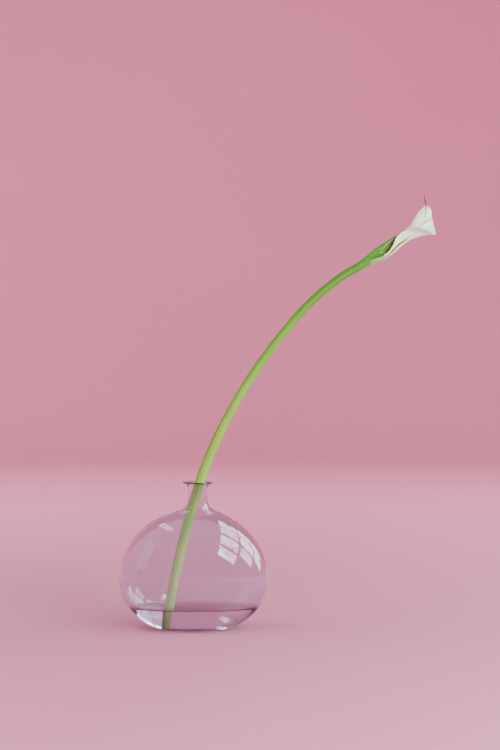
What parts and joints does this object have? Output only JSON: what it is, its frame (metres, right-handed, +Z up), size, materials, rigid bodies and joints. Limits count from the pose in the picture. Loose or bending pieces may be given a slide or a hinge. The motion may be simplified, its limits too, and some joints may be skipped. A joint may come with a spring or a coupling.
{
  "type": "calla lily in a glass vase",
  "caption": "Cut calla lily on a long arching stem, standing in shallow water in a clear glass flask vase with a short neck and a flared lip.",
  "frame": {"origin": "centre of the vase's flat foot, on the ground", "axes": "+Z up, +X along the vase's width towards the side the flower leans to, -Y out of the front"},
  "size_m": [0.3474, 0.082, 0.4784],
  "materials": {
    "glass": "clear polished glass with a faint cool tint",
    "water": "clear still water",
    "stem": "smooth fleshy plant skin, satin green",
    "spathe": "soft waxy petal, white with a green foot",
    "spadix": "fine-grained matt yellow"
  },
  "bodies": {
    "root": {"vase": "glass", "water": "water", "stem": "stem", "spathe": "spathe", "spadix": "spadix"}
  },
  "joints": []
}
